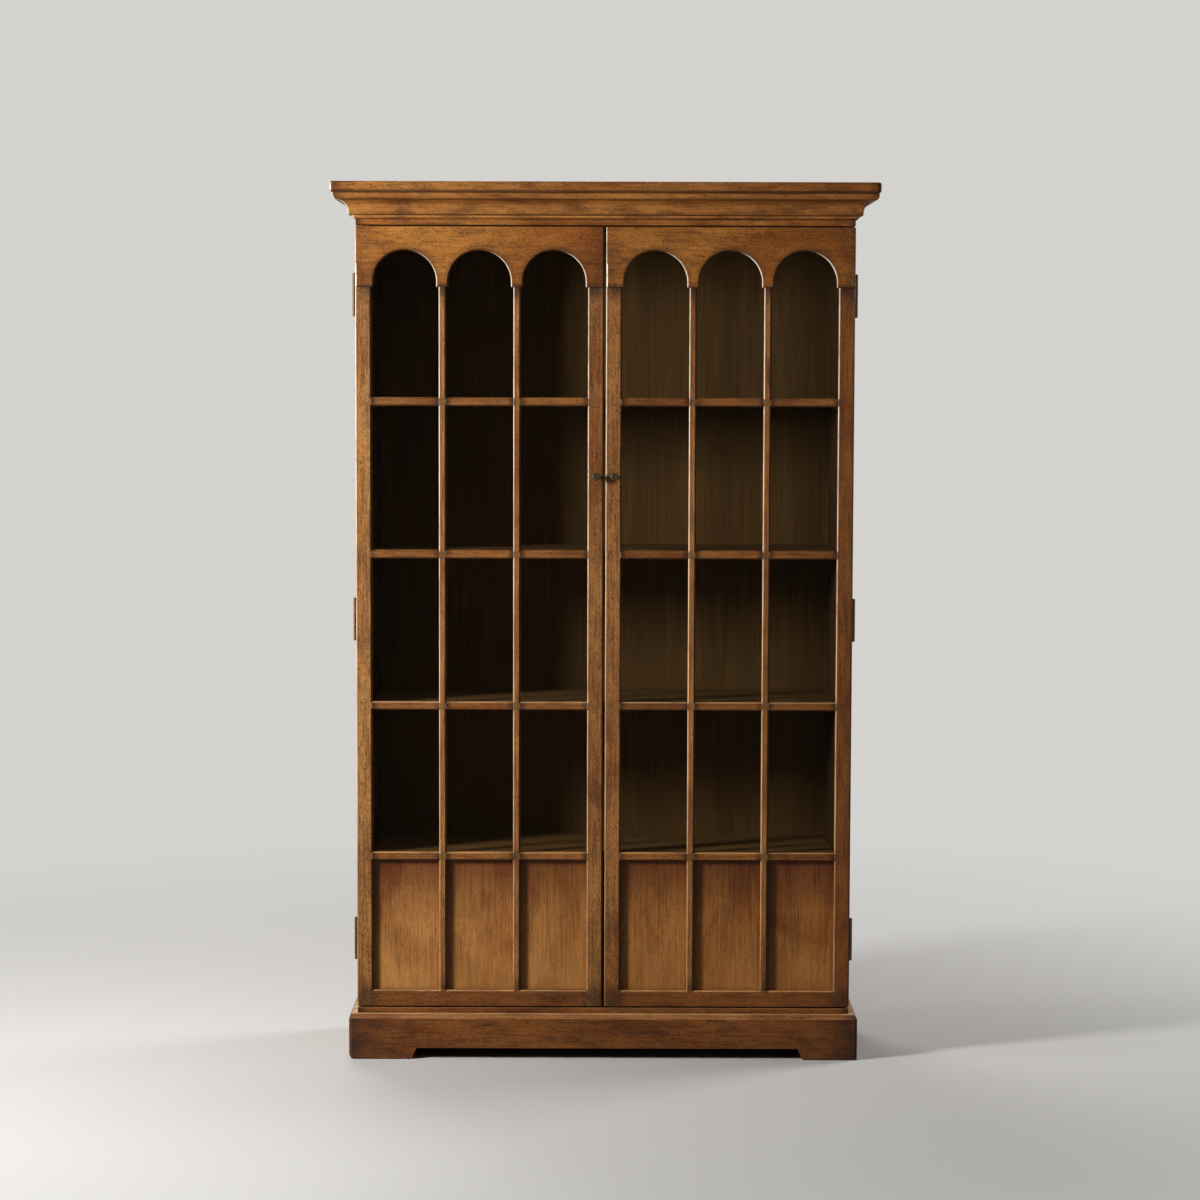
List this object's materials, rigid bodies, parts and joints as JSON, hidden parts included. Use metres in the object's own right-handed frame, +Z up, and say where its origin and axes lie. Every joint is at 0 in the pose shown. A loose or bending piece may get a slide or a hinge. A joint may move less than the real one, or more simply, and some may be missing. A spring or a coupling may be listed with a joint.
{
  "type": "display cabinet",
  "caption": "Tall wooden display cabinet: glazed double doors headed by round arches, shelves behind glazing bars, wooden lower panels, moulded cornice and a low plinth.",
  "frame": {"origin": "middle of the cabinet's outer box, on the floor", "axes": "+Z up, -Y out of the door fronts, +X to the right as seen from the front"},
  "size_m": [1.318, 0.406, 2.134],
  "materials": {
    "honey_wood": "honey-brown stain with dark worn patina, satin wax",
    "olive_paint": "dark olive-brown paint dragged with a dry brush, matte",
    "bare_wood": "bare sawn wood",
    "clear_glass": "clear polished",
    "dark_iron": "dark browned iron, rubbed on the edges",
    "dark_bronze": "dark patinated bronze",
    "plain_steel": "zinc-plated"
  },
  "bodies": {
    "case": {"plinth_top_board": "honey_wood", "plinth_front": "honey_wood", "plinth_left": "honey_wood", "plinth_right": "honey_wood", "plinth_back": "honey_wood", "plinth_corner_blocks": "bare_wood", "side_panel_left": "honey_wood", "side_panel_right": "honey_wood", "bottom_panel": "olive_paint", "top_panel": "olive_paint", "back_panel": "olive_paint", "shelf_1": "olive_paint", "shelf_2": "olive_paint", "shelf_3": "olive_paint", "shelf_4": "olive_paint", "shelf_pegs": "dark_bronze", "frieze_rail": "honey_wood", "base_rail": "honey_wood", "cornice_front": "honey_wood", "cornice_left": "honey_wood", "cornice_right": "honey_wood", "cornice_top_board": "honey_wood", "case_screws": "plain_steel", "door_catches": "plain_steel", "case_hinge_leaves": "dark_iron", "hinge_pins": "dark_iron", "case_hinge_screws": "dark_iron"},
    "left_door": {"left_hinge_stile": "honey_wood", "left_meeting_stile": "honey_wood", "left_arcade_board": "honey_wood", "left_bottom_rail": "honey_wood", "left_inner_muntin": "honey_wood", "left_outer_muntin": "honey_wood", "left_crossbars": "honey_wood", "left_lower_panels": "honey_wood", "left_glass_panes": "clear_glass", "left_glazing_beads": "honey_wood", "left_knob": "dark_bronze", "left_knob_rosette": "dark_bronze", "left_knob_nut": "dark_bronze", "left_door_hinge_leaves": "dark_iron", "left_door_hinge_screws": "dark_iron", "left_strike_plate": "plain_steel"},
    "right_door": {"right_hinge_stile": "honey_wood", "right_meeting_stile": "honey_wood", "right_arcade_board": "honey_wood", "right_bottom_rail": "honey_wood", "right_inner_muntin": "honey_wood", "right_outer_muntin": "honey_wood", "right_crossbars": "honey_wood", "right_lower_panels": "honey_wood", "right_glass_panes": "clear_glass", "right_glazing_beads": "honey_wood", "right_knob": "dark_bronze", "right_knob_rosette": "dark_bronze", "right_knob_nut": "dark_bronze", "right_door_hinge_leaves": "dark_iron", "right_door_hinge_screws": "dark_iron", "right_strike_plate": "plain_steel"}
  },
  "joints": [
    {"name": "left_door_swing", "type": "hinge", "parent": "case", "child": "left_door", "pos_m": [-0.6073, -0.12, 1.079], "axis": [0, 0, -1], "range_deg": [0, 180]},
    {"name": "right_door_swing", "type": "hinge", "parent": "case", "child": "right_door", "pos_m": [0.6073, -0.12, 1.079], "axis": [0, 0, 1], "range_deg": [0, 180]}
  ]
}
